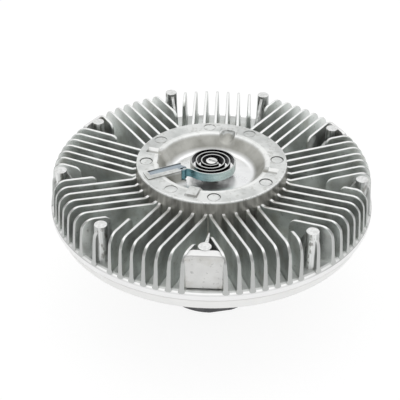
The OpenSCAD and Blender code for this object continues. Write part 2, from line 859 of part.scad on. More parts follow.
module bearing_seals() {
    color("black")
    for (z = [bearing_z0 + 0.4, bearing_z1 - 1.5])
        tube(outer_ring_r, inner_ring_r + 0.25, z, z + 1.1);
}

// Sprung ring in the groove behind the bearing, with two eyes for the pliers
module bearing_circlip() {
    color("gray")
    difference() {
        union() {
            tube(clip_groove_r - fit_gap, bearing_r - 2.4, bearing_z0 - clip_t, bearing_z0);
            for (a = [-14, 14])
                rotate(a)
                    translate([bearing_r - 3.4, 0, bearing_z0 - clip_t])
                        cylinder(r = 2.9, h = clip_t);
        }
        translate([0, -4.6, bearing_z0 - clip_t - 1])
            cube([60, 9.2, clip_t + 2]);
        for (a = [-14, 14])
            rotate(a)
                translate([bearing_r - 3.6, 0, bearing_z0 - clip_t - 1])
                    cylinder(r = 1.2, h = clip_t + 2);
    }
}

module fill_plug() {
    color("gray")
    rotate(360 / rear_fins)
        translate([plug_place_r, 0, web_z - 0.6])
            cylinder(r = plug_r, h = body_wall);
}

front_cover();
rear_body();
rim_seal();
partition_plate();
partition_rivets();
scavenge_dam();
valve_shaft();
valve_arm();
valve_clip();
valve_seal();
valve_bush();
bimetal_coil();
coil_keeper();
drive_hub();
rotor();
rotor_washer();
rotor_nut();
bearing_outer_ring();
bearing_inner_ring();
bearing_balls();
bearing_cage();
bearing_seals();
bearing_circlip();
fill_plug();
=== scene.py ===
# Viscous fan clutch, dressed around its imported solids.
# Metres, Z along the spin axis towards the finned front, origin on the drive flange's face.

import math

import bmesh
import bpy
from mathutils import Matrix, Vector
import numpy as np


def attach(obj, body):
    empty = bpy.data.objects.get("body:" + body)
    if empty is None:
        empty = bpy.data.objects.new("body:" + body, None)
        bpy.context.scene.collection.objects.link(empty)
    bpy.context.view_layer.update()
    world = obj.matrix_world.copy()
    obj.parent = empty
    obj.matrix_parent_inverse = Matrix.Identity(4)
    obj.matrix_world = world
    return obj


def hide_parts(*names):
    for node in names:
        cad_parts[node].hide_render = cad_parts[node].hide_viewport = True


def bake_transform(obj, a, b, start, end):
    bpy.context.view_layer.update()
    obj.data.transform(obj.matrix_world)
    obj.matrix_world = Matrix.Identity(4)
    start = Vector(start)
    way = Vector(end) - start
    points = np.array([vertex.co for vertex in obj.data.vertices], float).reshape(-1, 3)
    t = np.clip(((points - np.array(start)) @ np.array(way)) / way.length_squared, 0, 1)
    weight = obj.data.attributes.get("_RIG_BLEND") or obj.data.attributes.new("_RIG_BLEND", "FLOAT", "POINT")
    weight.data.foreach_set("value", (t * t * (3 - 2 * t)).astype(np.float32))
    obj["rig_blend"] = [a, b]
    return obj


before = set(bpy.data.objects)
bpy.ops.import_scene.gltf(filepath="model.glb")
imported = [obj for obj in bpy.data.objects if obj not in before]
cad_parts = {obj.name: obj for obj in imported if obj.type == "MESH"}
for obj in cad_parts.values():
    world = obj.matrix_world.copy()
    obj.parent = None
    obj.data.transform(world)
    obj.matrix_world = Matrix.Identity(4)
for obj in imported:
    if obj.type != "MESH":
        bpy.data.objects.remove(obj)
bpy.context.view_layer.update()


# Cover casting
# The disc of the front cover: a pressure casting in aluminium with a turned rim, a raised hub, a
# bowl for the thermostat coil and a slotted bar across it that anchors the coil. Its lip is rolled
# over the flange of the rear body.
MM = 0.001
HUB_MARK_TURN = math.radians(-15)
SCOOP_PLACE = Vector((0.0120, 0.0448, 0.119))
MARK_CIRCLE = 50.4
MARK_SIDES = (-19.3, 19.3)
CLEAR_MARK = (118.5, 119.6)
FAINT_MARK = (119.5, 119.75)
EJECTOR_MARKS = ((CLEAR_MARK, CLEAR_MARK), (FAINT_MARK, FAINT_MARK), (FAINT_MARK, CLEAR_MARK),
                 (FAINT_MARK, CLEAR_MARK))
GAP_LIGHT = (0.86, 0.89, 0.87, 1)
GAP_DARK = (0.58, 0.60, 0.585, 1)
# Colour of the highlights painted on the groove walls and the bowl's edge
PAINTED_HIGHLIGHT = (0.93, 0.935, 0.92, 1)
OFF_AXIS = (1, 1, 0)
BAR_TURN = math.radians(28.5)
BAR_TIP = (-22.7, -9.1)
BARREL = (-22, -12.5)


def deselect():
    """Leaves edit mode and drops the whole selection."""
    if bpy.context.mode != "OBJECT":
        bpy.ops.object.mode_set(mode="OBJECT")
    bpy.ops.object.select_all(action="DESELECT")


def make_active(piece):
    """Selects one piece alone."""
    deselect()
    piece.select_set(True)
    bpy.context.view_layer.objects.active = piece


def edit(piece):
    """Opens a piece in edit mode."""
    make_active(piece)
    bpy.ops.object.mode_set(mode="EDIT")


def settle(piece, name):
    """Ends the edit, names the piece and puts its place into its mesh."""
    make_active(piece)
    bpy.ops.object.transform_apply(location=True, rotation=True, scale=True)
    piece.name = name
    piece.data.name = name
    return piece


def pick(kind, test):
    """Selects the points, edges or faces in edit mode whose middle passes the test."""
    bpy.ops.mesh.select_mode(type=kind)
    bpy.ops.mesh.select_all(action="DESELECT")
    mesh = bmesh.from_edit_mesh(bpy.context.edit_object.data)
    for part in {"VERT": mesh.verts, "EDGE": mesh.edges, "FACE": mesh.faces}[kind]:
        corners = [part] if kind == "VERT" else part.verts
        middle = sum((corner.co for corner in corners), Vector()) / len(corners)
        if test(middle):
            part.select_set(True)
    mesh.select_flush_mode()
    bmesh.update_edit_mesh(bpy.context.edit_object.data)


def pick_sharp(angle, test):
    """Selects the edges in edit mode that turn by more than an angle and whose ends pass the test."""
    bpy.ops.mesh.select_mode(type="EDGE")
    bpy.ops.mesh.select_all(action="DESELECT")
    mesh = bmesh.from_edit_mesh(bpy.context.edit_object.data)
    for edge in mesh.edges:
        if edge.calc_face_angle(0) > angle and test(edge.verts[0].co, edge.verts[1].co):
            edge.select_set(True)
    bmesh.update_edit_mesh(bpy.context.edit_object.data)


def arc(centre, radius, start, end, steps):
    """Points of an arc in a half section, in millimetres and degrees."""
    turns = [math.radians(start + (end - start) * i / steps) for i in range(steps + 1)]
    return [(centre[0] + radius * math.cos(a), centre[1] + radius * math.sin(a)) for a in turns]


def draw_line(points):
    """Draws a line through points by extruding one vertex, and leaves it in edit mode."""
    deselect()
    bpy.ops.mesh.primitive_plane_add(size=MM, location=(0, 0, 0))
    bpy.ops.object.mode_set(mode="EDIT")
    bpy.ops.mesh.select_mode(type="VERT")
    bpy.ops.mesh.select_all(action="SELECT")
    bpy.ops.mesh.merge(type="CENTER")
    last = Vector()
    for number, point in enumerate(points):
        step = {"value": tuple(Vector(point) - last)}
        if number:
            bpy.ops.mesh.extrude_vertices_move(TRANSFORM_OT_translate=step)
        else:
            bpy.ops.transform.translate(**step)
        last = Vector(point)
    return bpy.context.object


def spin_section(name, section, steps):
    """Turns a closed half section, given as radius and height in millimetres, about the axis."""
    piece = draw_line([(r * MM, 0, z * MM) for r, z in section])
    ends = [Vector((r, 0, z)) * MM for r, z in (section[0], section[-1])]
    pick("VERT", lambda p: min((p - end).length for end in ends) < 1e-6)
    bpy.ops.mesh.edge_face_add()
    bpy.ops.mesh.select_all(action="SELECT")
    bpy.ops.mesh.spin(steps=steps, angle=2 * math.pi, center=(0, 0, 0), axis=(0, 0, 1))
    bpy.ops.mesh.select_all(action="SELECT")
    bpy.ops.mesh.remove_doubles(threshold=1e-6)
    bpy.ops.mesh.normals_make_consistent(inside=False)
    return settle(piece, name)


def block(low, high):
    """A box between two corners in millimetres, with its place in its mesh."""
    deselect()
    middle = [(a + b) / 2 * MM for a, b in zip(low, high)]
    size = [(b - a) * MM for a, b in zip(low, high)]
    bpy.ops.mesh.primitive_cube_add(size=1, location=middle, scale=size)
    return settle(bpy.context.object, "block")


def drum(place, radius, low, high, top_radius=None, sides=40):
    """A round bar standing along Z, in millimetres, with its place in its mesh."""
    deselect()
    bpy.ops.mesh.primitive_cone_add(
        vertices=sides, radius1=radius * MM, radius2=(top_radius or radius) * MM,
        depth=(high - low) * MM, location=(place[0] * MM, place[1] * MM, (low + high) / 2 * MM))
    return settle(bpy.context.object, "drum")


def turn(piece, angle):
    """Turns a piece about the spin axis and keeps the turn in its mesh."""
    piece.rotation_euler.z = angle
    return settle(piece, piece.name)


def apply_modifier(piece, kind, **settings):
    """Adds a modifier with its settings and applies it."""
    make_active(piece)
    modifier = piece.modifiers.new(kind.title(), kind)
    for key, value in settings.items():
        setattr(modifier, key, value)
    bpy.ops.object.modifier_apply(modifier=modifier.name)


def carve(piece, cutter):
    """Cuts one solid out of a piece and removes the cutter."""
    apply_modifier(piece, "BOOLEAN", operation="DIFFERENCE", solver="EXACT", object=cutter)
    bpy.data.objects.remove(cutter)


def soften(piece, width, segments, angle=40):
    """Rounds the sharp edges of a piece by a width in millimetres."""
    apply_modifier(piece, "BEVEL", width=width * MM, segments=segments, limit_method="ANGLE",
                   angle_limit=math.radians(angle), harden_normals=False)


def smooth(piece, angle=30):
    """Smooth shading over all but the sharp edges, with the flat faces left flat."""
    make_active(piece)
    bpy.ops.object.shade_smooth_by_angle(angle=math.radians(angle))
    apply_modifier(piece, "WEIGHTED_NORMAL", keep_sharp=True)


def new_finish(name, metallic, roughness):
    """A material with its shader and the object coordinates that its patterns read."""
    finish = bpy.data.materials.new(name)
    finish.use_nodes = True
    tree = finish.node_tree
    shader = tree.nodes["Principled BSDF"]
    shader.inputs["Metallic"].default_value = metallic
    shader.inputs["Roughness"].default_value = roughness
    place = tree.nodes.new("ShaderNodeTexCoord").outputs["Object"]
    return finish, tree, shader, place


def grain(tree, place, scale, detail=4, stretch=None):
    """Noise at so many cells a metre, stretched along the axes where asked."""
    if stretch:
        mapping = tree.nodes.new("ShaderNodeMapping")
        mapping.inputs["Scale"].default_value = stretch
        tree.links.new(place, mapping.inputs["Vector"])
        place = mapping.outputs["Vector"]
    node = tree.nodes.new("ShaderNodeTexNoise")
    node.inputs["Scale"].default_value = scale
    node.inputs["Detail"].default_value = detail
    tree.links.new(place, node.inputs["Vector"])
    return node.outputs["Fac"]


def tones(tree, value, stops):
    """Colours along a value, as pairs of position and colour."""
    node = tree.nodes.new("ShaderNodeValToRGB")
    ramp = node.color_ramp
    while len(ramp.elements) < len(stops):
        ramp.elements.new(0.5)
    for element, (position, colour) in zip(ramp.elements, stops):
        element.position = position
        element.color = colour
    tree.links.new(value, node.inputs["Fac"])
    return node.outputs["Color"]


def level(tree, value, low, high, out_low=0, out_high=1):
    """Carries a value from one range to another."""
    node = tree.nodes.new("ShaderNodeMapRange")
    for socket, number in (("From Min", low), ("From Max", high), ("To Min", out_low),
                           ("To Max", out_high)):
        node.inputs[socket].default_value = number
    tree.links.new(value, node.inputs["Value"])
    return node.outputs["Result"]


def blend_colours(tree, mask, first, second):
    """Mixes two colours by a mask."""
    node = tree.nodes.new("ShaderNodeMix")
    node.data_type = "RGBA"
    tree.links.new(mask, node.inputs["Factor"])
    for socket, colour in ((node.inputs[6], first), (node.inputs[7], second)):
        if isinstance(colour, tuple):
            socket.default_value = colour
        else:
            tree.links.new(colour, socket)
    return node.outputs[2]


def raise_surface(tree, shader, heights):
    """Bumps from several heights, each with its strength and depth in millimetres."""
    normal = None
    for height, strength, depth in heights:
        node = tree.nodes.new("ShaderNodeBump")
        node.inputs["Strength"].default_value = strength
        node.inputs["Distance"].default_value = depth * MM
        tree.links.new(height, node.inputs["Height"])
        if normal:
            tree.links.new(normal, node.inputs["Normal"])
        normal = node.outputs["Normal"]
    tree.links.new(normal, shader.inputs["Normal"])


def lay_over(tree, colour, layers):
    """Lays colours over a first one, each by its own mask."""
    for mask, over in layers:
        colour = blend_colours(tree, mask, colour, over)
    return colour


def reckon(tree, operation, *values):
    """A sum on one or two numbers of the surface."""
    node = tree.nodes.new("ShaderNodeMath")
    node.operation = operation
    for socket, value in zip(node.inputs, values):
        tree.links.new(value, socket)
    return node.outputs["Value"]


def overlap(tree, first, *others):
    """The lowest of several masks."""
    for mask in others:
        first = reckon(tree, "MINIMUM", first, mask)
    return first


def band(tree, value, rise, fall, strength=1):
    """A mask that comes up over one pair of limits of a value and goes down over the next."""
    return overlap(tree, level(tree, value, *rise, 0, strength), level(tree, value, *fall, 1, 0))


def reckon_way(tree, operation, first, second=None):
    """A sum on places or directions, the second of which may be a fixed one."""
    node = tree.nodes.new("ShaderNodeVectorMath")
    node.operation = operation
    tree.links.new(first, node.inputs[0])
    if isinstance(second, (tuple, Vector)):
        node.inputs[1].default_value = second
    elif second is not None:
        tree.links.new(second, node.inputs[1])
    gives_number = operation in ("DISTANCE", "DOT_PRODUCT", "LENGTH")
    return node.outputs["Value" if gives_number else "Vector"]


def axes_of(tree, place):
    """The X, Y and Z of a place or direction."""
    parts = tree.nodes.new("ShaderNodeSeparateXYZ")
    tree.links.new(place, parts.inputs["Vector"])
    return parts.outputs["X"], parts.outputs["Y"], parts.outputs["Z"]


def axis_values(tree, place):
    """Distance from the spin axis and height, in metres."""
    flat_place = reckon_way(tree, "MULTIPLY", place, OFF_AXIS)
    return reckon_way(tree, "LENGTH", flat_place), axes_of(tree, place)[2]


def facing(tree, place):
    """How far a surface looks up, and how far it looks away from the spin axis."""
    normal = tree.nodes.new("ShaderNodeTexCoord").outputs["Normal"]
    away = reckon_way(tree, "NORMALIZE", reckon_way(tree, "MULTIPLY", place, OFF_AXIS))
    return axes_of(tree, normal)[2], reckon_way(tree, "DOT_PRODUCT", normal, away)


def cast_skin(name, roughness):
    """The skin of as-cast aluminium: uneven gloss, a slight ripple, a fine grain and small pits."""
    finish, tree, shader, place = new_finish(name, 1.0, roughness)
    clouds = grain(tree, place, 55, 5)
    pits = grain(tree, place, 420, 2)
    ripple = grain(tree, place, 300, 3)
    skin = grain(tree, place, 1400, 3)
    tree.links.new(level(tree, clouds, 0.3, 0.7, roughness - 0.07, roughness + 0.09),
                   shader.inputs["Roughness"])
    raise_surface(tree, shader, [(ripple, 0.30, 0.25), (skin, 0.35, 0.06), (pits, 0.25, 0.12)])
    return finish, tree, shader, place, clouds, pits


def cast_aluminium(name, light, dark, roughness):
    """As-cast aluminium: cloudy grey with warm patches and dark pits."""
    finish, tree, shader, place, clouds, pits = cast_skin(name, roughness)
    patches = level(tree, grain(tree, place, 90, 6), 0.50, 0.72, 0, 0.55)
    specks = level(tree, pits, 0.62, 0.74, 0, 0.5)
    colour = lay_over(tree, tones(tree, clouds, [(0.32, dark), (0.68, light)]), [
        (patches, (0.50, 0.485, 0.435, 1)),
        (specks, (0.32, 0.32, 0.31, 1))])
    tree.links.new(colour, shader.inputs["Base Color"])
    return finish, tree, shader, place, colour


def in_bar_frame(piece):
    """Carries a piece modelled along X to the place and turn of the coil's anchor bar."""
    piece.rotation_euler.z = BAR_TURN
    piece.location = (BAR_TIP[0] * MM, BAR_TIP[1] * MM, 0)
    return settle(piece, piece.name)


def unite(piece, other):
    """Joins another solid to a piece as one skin and removes the other."""
    apply_modifier(piece, "BOOLEAN", operation="UNION", solver="EXACT", object=other)
    bpy.data.objects.remove(other)


casting_section = (
    [(6.5, 108), (30, 108)] + arc((30, 113), 5, -90, -37, 8) + arc((43.1, 117.4), 2.6, 143, 90, 8)
    + arc((57, 119), 1, 90, 5, 5)
    + [(60.38, 92.5), (60.7, 91.5), (61.4, 90.8), (62.6, 90.5), (121.9, 90.5), (122.7, 90.3),
       (124.7, 88.7), (125, 88.2), (125, 84.2), (124.3, 84), (124, 83.7), (124.7, 83.4),
       (124.4, 82.9), (123.1, 82.2), (122.1, 79.4), (121, 75.4), (120.5, 74.1), (119.8, 73.1),
       (118.8, 72.6), (117.4, 72.5), (115, 72.7), (114.3, 75.6), (117.6, 79), (117.6, 84),
       (104.3, 84), (104.3, 85.6), (92, 85.6), (90.4, 87.1), (53.4, 87.1), (52, 89.5), (51, 101),
       (48, 104), (12.5, 104), (10.9, 96), (6.5, 96)])
casting = spin_section("cover_casting", casting_section, 180)

# The bar that anchors the coil, open at its end for the keeper's roll and slotted for its strip
bar = block((-40, -7.6, 107), (0.8, 3.6, 120.8))
soften(bar, 0.45, 3)
in_bar_frame(bar)
hub_reach = drum((0, 0), 55, 100, 125, sides=120)
apply_modifier(bar, "BOOLEAN", operation="INTERSECT", solver="EXACT", object=hub_reach)
bpy.data.objects.remove(hub_reach)
unite(casting, bar)
carve(casting, drum(BARREL, 3.7, 111, 122))
nook = block((0, -7.4, 111), (10, 3.7, 122))
nook.rotation_euler.z = BAR_TURN
nook.location = (BARREL[0] * MM, BARREL[1] * MM, 0)
carve(casting, settle(nook, "nook"))
carve(casting, in_bar_frame(block((-3.6, -10, 112), (10, -3.3, 122))))
carve(casting, in_bar_frame(block((-27, -3, 118), (3, 3, 122))))

# The pocket beside the bar, with sloping sides and a rounded corner
pocket = block((-45.2, -6.4, 109), (-26, 21.7, 125))
edit(pocket)
pick("VERT", lambda p: p.z < 0.11 and p.x < -0.04)
bpy.ops.transform.translate(value=(10.2 * MM, 0, 0))
pick("VERT", lambda p: p.z < 0.11 and p.y > 0.01)
bpy.ops.transform.translate(value=(0, -8.7 * MM, 0))
pick("EDGE", lambda p: p.x < -0.039 and p.y > 0.016)
bpy.ops.mesh.bevel(offset=8 * MM, segments=7, affect="EDGES")
carve(casting, settle(pocket, "pocket"))

# The raised boss, the two grooves and the scoop on the hub's face
boss = block((39.2, -6, 118), (53.4, 6, 121.5))
edit(boss)
pick("FACE", lambda p: p.z > 0.1214)
bpy.ops.transform.resize(value=(0.75, 0.7, 1), center_override=(46.3 * MM, 0, 121.5 * MM))
settle(boss, "boss")
soften(boss, 0.25, 2)
unite(casting, turn(boss, HUB_MARK_TURN - math.pi / 2))
for groove_turn in (0, math.pi):
    groove = block((38.5, -2.5, 117.6), (52.5, 2.5, 122))
    edit(groove)
    pick("VERT", lambda p: p.z < 0.119)
    bpy.ops.transform.resize(value=(1, 0.8, 1), center_override=(0.0455, 0, 0.1176))
    pick("VERT", lambda p: p.z > 0.121)
    bpy.ops.transform.resize(value=(1, 2.2, 1), center_override=(0.0455, 0, 0.122))
    settle(groove, "groove")
    carve(casting, turn(groove, HUB_MARK_TURN + groove_turn))
scoop = drum((0, 0), 8.2, 34, 49, 4.6)
soften(scoop, 2.6, 5)
scoop.rotation_euler.y = math.radians(90)
scoop.location = (0, 0, 121 * MM)
carve(casting, turn(settle(scoop, "scoop"), HUB_MARK_TURN + math.pi / 2))
edit(casting)
pick_sharp(0.45, lambda first, last: ((first + last) / 2 - SCOOP_PLACE).length < 12 * MM)
bpy.ops.mesh.bevel(offset=1 * MM, segments=3, affect="EDGES")
settle(casting, "cover_casting")

# The rings that ejector pins leave, some of them worn faint
for quarter, marks in enumerate(EJECTOR_MARKS):
    for side, (ring_floor, disc_top) in zip(MARK_SIDES, marks):
        mark = drum((MARK_CIRCLE, 0), 5, ring_floor, 121, 5.2, sides=32)
        carve(mark, drum((MARK_CIRCLE, 0), 4.3, 118, disc_top, sides=32))
        carve(casting, turn(mark, HUB_MARK_TURN + quarter * math.pi / 2 + math.radians(side)))
smooth(casting, 25)

finish, tree, shader, place, gap_colour = cast_aluminium("cover_cast", GAP_LIGHT, GAP_DARK, 0.42)
radius, height = axis_values(tree, place)
up = facing(tree, place)[0]
clouds = grain(tree, place, 70, 5)
streaks = grain(tree, place, 240, 4, stretch=(1, 1, 0.07))
scuffs = level(tree, grain(tree, place, 330, 5), 0.54, 0.66, 0, 0.5)
rim_lines = grain(tree, place, 30, 6, stretch=(0.02, 0.02, 90))
wall_colour = tones(tree, streaks, [(0.34, (0.27, 0.262, 0.24, 1)), (0.66, (0.56, 0.55, 0.515, 1))])
bowl_colour = tones(tree, clouds, [(0.34, (0.31, 0.308, 0.282, 1)), (0.64, (0.50, 0.498, 0.468, 1))])
face_colour = tones(tree, clouds, [(0.30, (0.47, 0.485, 0.475, 1)), (0.62, (0.69, 0.70, 0.69, 1))])
face_colour = blend_colours(tree, scuffs, face_colour, (0.40, 0.40, 0.375, 1))
base_colour = tones(tree, clouds, [(0.32, (0.76, 0.77, 0.775, 1)), (0.62, (0.87, 0.875, 0.875, 1))])
rim_colour = tones(tree, rim_lines, [(0.35, (0.84, 0.84, 0.84, 1)), (0.6, (0.93, 0.93, 0.93, 1))])
lip_colour = tones(tree, rim_lines, [(0.35, (0.83, 0.83, 0.82, 1)), (0.6, (0.91, 0.91, 0.90, 1))])
edge_colour = tones(tree, clouds, [(0.32, (0.40, 0.41, 0.40, 1)), (0.62, (0.66, 0.67, 0.66, 1))])

# Where the hub's bowl, grooves and edges lie, and where shade and highlights are painted on its steep sides,
# groove floors, groove walls, bowl edge and corner
bowl_base = overlap(tree, level(tree, height, 0.1115, 0.1085), level(tree, radius, 0.040, 0.036))
in_groove = overlap(tree, band(tree, radius, (0.0440, 0.0448), (0.0555, 0.0560)),
                    level(tree, height, 0.1165, 0.1172))
from_scoop = reckon_way(tree, "DISTANCE", place, SCOOP_PLACE)
across_groove = reckon_way(tree, "DOT_PRODUCT", place,
                           (-math.sin(HUB_MARK_TURN), math.cos(HUB_MARK_TURN), 0))
off_groove = reckon(tree, "ABSOLUTE", across_groove)
above_face = reckon(tree, "ADD", height, level(tree, radius, 0.0440, 0.0448, -0.0014, 0))
# Painted shade: the steep sides of the boss, the grooves and the ejector rings are darkened, in patches
steep_side_shade = overlap(
    tree, level(tree, up, 0.85, 0.55), level(tree, above_face, 0.1185, 0.1190, 0, 0.85),
    level(tree, radius, 0.0565, 0.0560), level(tree, from_scoop, 0.0085, 0.0095),
    level(tree, off_groove, 0.0055, 0.0062, 0.3, 1),
    level(tree, grain(tree, place, 110, 3), 0.40, 0.58, 0.15, 1))
groove_length = band(tree, radius, (0.0445, 0.0450), (0.0525, 0.0530))
# Painted shade: the floor of each groove is darkened
groove_floor_shade = overlap(tree, level(tree, off_groove, 0.0024, 0.0020),
                       level(tree, height, 0.1182, 0.1178, 0, 0.8), groove_length)
# Painted highlight: the sloping wall of each groove is lightened
groove_wall_highlight = overlap(tree, band(tree, across_groove, (0.0018, 0.0024), (0.0040, 0.0045), 0.9),
                      level(tree, up, 0.85, 0.75), groove_length)
# Painted highlight along the bowl's rounded edge
bowl_edge_highlight = overlap(tree, band(tree, radius, (0.0407, 0.0414), (0.0432, 0.0452), 0.4),
                    band(tree, height, (0.1186, 0.1191), (0.1202, 0.1204)),
                    level(tree, up, 0.60, 0.80))
# Painted highlight, broken up by noise, along the hub's rounded outer corner
hub_corner_highlight = overlap(tree, level(tree, radius, 0.0569, 0.0576, 0, 0.6),
                     level(tree, height, 0.1186, 0.1190),
                     level(tree, grain(tree, place, 600, 2), 0.40, 0.50, 0.1, 1))

# Where the rim's shoulder, turned edge and lip lie; a highlight is painted on the shoulder, strongest at the
# front pad, and a shade along the turned edge, weakest there
front_side = level(tree, axes_of(tree, place)[1], -0.080, -0.108)
shoulder = overlap(tree, level(tree, radius, 0.1233, 0.1238), level(tree, height, 0.0920, 0.0910),
                   level(tree, front_side, 0, 1, 0.35, 1))
# Painted shade: a dark line along the turned edge of the rim
turned_edge_shade = overlap(tree, band(tree, height, (0.0878, 0.0881), (0.0886, 0.0889)),
                      level(tree, radius, 0.1240, 0.1244), level(tree, front_side, 0, 1, 0.9, 0.25))
under_band = overlap(tree, level(tree, height, 0.0841, 0.0837), level(tree, radius, 0.1, 0.11))

colour = lay_over(tree, gap_colour, [
    (level(tree, radius, 0.106, 0.121), edge_colour),
    (level(tree, height, 0.0906, 0.0925), wall_colour),
    (level(tree, radius, 0.0555, 0.0545), bowl_colour),
    (bowl_base, base_colour),
    (in_groove, face_colour),
    (level(tree, height, 0.1178, 0.1192), face_colour),
    (steep_side_shade, (0.25, 0.248, 0.235, 1)),
    (groove_floor_shade, (0.36, 0.36, 0.345, 1)),
    (groove_wall_highlight, PAINTED_HIGHLIGHT),
    (bowl_edge_highlight, PAINTED_HIGHLIGHT),
    (hub_corner_highlight, (0.92, 0.925, 0.915, 1)),
    (shoulder, (0.96, 0.96, 0.955, 1)),
    (level(tree, radius, 0.1243, 0.1248), rim_colour),
    (turned_edge_shade, (0.46, 0.465, 0.46, 1)),
    (under_band, lip_colour)])
tree.links.new(colour, shader.inputs["Base Color"])
roughness = reckon(tree, "ADD", level(tree, clouds, 0.3, 0.7, 0.35, 0.5),
                   level(tree, bowl_base, 0, 1, 0, -0.10))
tree.links.new(roughness, shader.inputs["Roughness"])
casting.data.materials.append(finish)
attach(casting, "housing")
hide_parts("front_cover")


# Cooling fins
# Nine sectors of seven parallel fins, cast in one with the cover. Each thins towards its top for
# the die to part, slopes up to the rim and turns down over a rounded outer corner to a round foot.
FRONT = 120 * MM
FLOOR = 90.5 * MM
FIN_PITCH = 9.25
SECTORS = 9
FIRST_BISECTOR = math.radians(-70)
FIN_TOP_AT_HUB = (55, 108.4)
FIN_TOP_CORNER = (121.87, 119.5)
FIN_FOOT = (124.13, 88.1)
FOOT_REACH = 124.85
FIN_START = 57
SHORT_FIN_STARTS = {-3: 88.9, 3: 100.6}
CORNER_ROUND = 9.87
START_ROUND = 4.4
TOP_ROUND = 0.55
FILLET_CUTS = (1.5, 0.5, -1.2)
FOOT_FLARE = 0.6
FOOT_TIP_HALF = 0.9
HUB_CUTS = (61.6, 60)
HUB_RISES = (0.9, 2.4)


def join(pieces, name):
    """Joins pieces into one mesh."""
    deselect()
    for piece in pieces:
        piece.select_set(True)
    bpy.context.view_layer.objects.active = pieces[0]
    bpy.ops.object.join()
    return settle(pieces[0], name)


def copy_of(piece):
    """A copy with its own mesh."""
    make_active(piece)
    bpy.ops.object.duplicate(linked=False)
    return bpy.context.object


def fin_height(r):
    """Height of the fin tops at a distance from the axis, in millimetres."""
    slope = (FIN_TOP_CORNER[1] - FIN_TOP_AT_HUB[1]) / (FIN_TOP_CORNER[0] - FIN_TOP_AT_HUB[0])
    return FIN_TOP_AT_HUB[1] + slope * (r - FIN_TOP_AT_HUB[0])


def half_thickness(z, top=1.0, base=1.7):
    """Half of a fin's thickness at a height in metres."""
    return (top + (base - top) * (FRONT - z) / (FRONT - FLOOR)) * MM


def cast_fin(start, across, top=1.0, base=1.7, round_start=False, meets_hub=False):
    """One fin along X whose length is measured as distance from the axis, set aside by across."""
    fin = block((start, -1, FIN_FOOT[1]), (FIN_FOOT[0], 1, FIN_TOP_CORNER[1]))
    edit(fin)
    mesh = bmesh.from_edit_mesh(fin.data)
    for corner in mesh.verts:
        if corner.co.z > 0.1:
            if corner.co.x < 0.122:
                corner.co.z = fin_height(start) * MM
            else:
                corner.co.x = FIN_TOP_CORNER[0] * MM
    bmesh.update_edit_mesh(fin.data)
    pick("EDGE", lambda p: p.z > 0.119 and p.x > 0.121 and abs(p.y) < 1e-5)
    bpy.ops.mesh.bevel(offset=CORNER_ROUND * MM, segments=8, affect="EDGES", offset_type="OFFSET")
    if round_start:
        pick("EDGE", lambda p: p.z > 0.1 and abs(p.x - start * MM) < 1e-5 and abs(p.y) < 1e-5)
        bpy.ops.mesh.bevel(offset=START_ROUND * MM, segments=5, affect="EDGES", offset_type="OFFSET")
    cuts = [((0, 0, FLOOR + lift * MM), (0, 0, 1)) for lift in FILLET_CUTS]
    if meets_hub:
        cuts += [((r * MM, 0, 0), (1, 0, 0)) for r in HUB_CUTS]
    for point, normal in cuts:
        bpy.ops.mesh.select_all(action="SELECT")
        bpy.ops.mesh.bisect(plane_co=point, plane_no=normal)
    mesh = bmesh.from_edit_mesh(fin.data)
    for corner in mesh.verts:
        half = half_thickness(corner.co.z, top, base)
        if corner.co.z < FLOOR - 2 * MM:
            half = FOOT_TIP_HALF * MM
        elif corner.co.z < FLOOR + 0.6 * MM:
            half += FOOT_FLARE * MM
        corner.co.y = half if corner.co.y > 0 else -half
        if corner.co.z < FLOOR - MM and corner.co.x > 120 * MM:
            corner.co.x = FOOT_REACH * MM
        if meets_hub and corner.co.x < 60.1 * MM and corner.co.z > 0.1:
            corner.co.z += HUB_RISES[0 if corner.co.x > 59 * MM else 1] * MM
    pick_sharp(0.7, lambda first, last: min(first.z, last.z) > 0.105)
    bpy.ops.mesh.bevel(offset=TOP_ROUND * MM, segments=3, affect="EDGES")
    settle(fin, "fin")
    soften(fin, 0.2, 2)
    edit(fin)
    bpy.ops.mesh.select_all(action="SELECT")
    bpy.ops.mesh.dissolve_degenerate(threshold=2e-6)
    settle(fin, "fin")
    for corner in fin.data.vertices:
        corner.co.y += across * MM
        corner.co.x = math.sqrt(max(corner.co.x ** 2 - corner.co.y ** 2, 0))
    return fin


fins = []
for number in range(-3, 4):
    if number in SHORT_FIN_STARTS:
        model = cast_fin(SHORT_FIN_STARTS[number], number * FIN_PITCH, round_start=True)
    else:
        model = cast_fin(FIN_START, number * FIN_PITCH, meets_hub=True)
    for sector in range(SECTORS):
        fins.append(turn(copy_of(model), FIRST_BISECTOR + sector * 2 * math.pi / SECTORS))
    bpy.data.objects.remove(model)
cover_fins = join(fins, "cover_fins")
smooth(cover_fins, 35)
finish, tree, shader, place, flank_colour = cast_aluminium("fin_cast", GAP_LIGHT, GAP_DARK, 0.40)
up, outward = facing(tree, place)
# Painted light and shade: the tops are lightened, the outer ends darkened and the rounded outer corners
# darker still
corner_shade = overlap(tree, level(tree, outward, 0.35, 0.55, 0, 0.85), level(tree, up, 0.35, 0.6))
shaded_end_colour = (0.53, 0.54, 0.53, 1)
painted_light_top_colour = (0.78, 0.785, 0.78, 1)
colour = lay_over(tree, flank_colour, [
    (level(tree, outward, 0.5, 0.85), shaded_end_colour),
    (level(tree, up, 0.6, 0.95), painted_light_top_colour),
    (corner_shade, (0.30, 0.305, 0.30, 1))])
tree.links.new(colour, shader.inputs["Base Color"])
cover_fins.data.materials.append(finish)
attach(cover_fins, "housing")


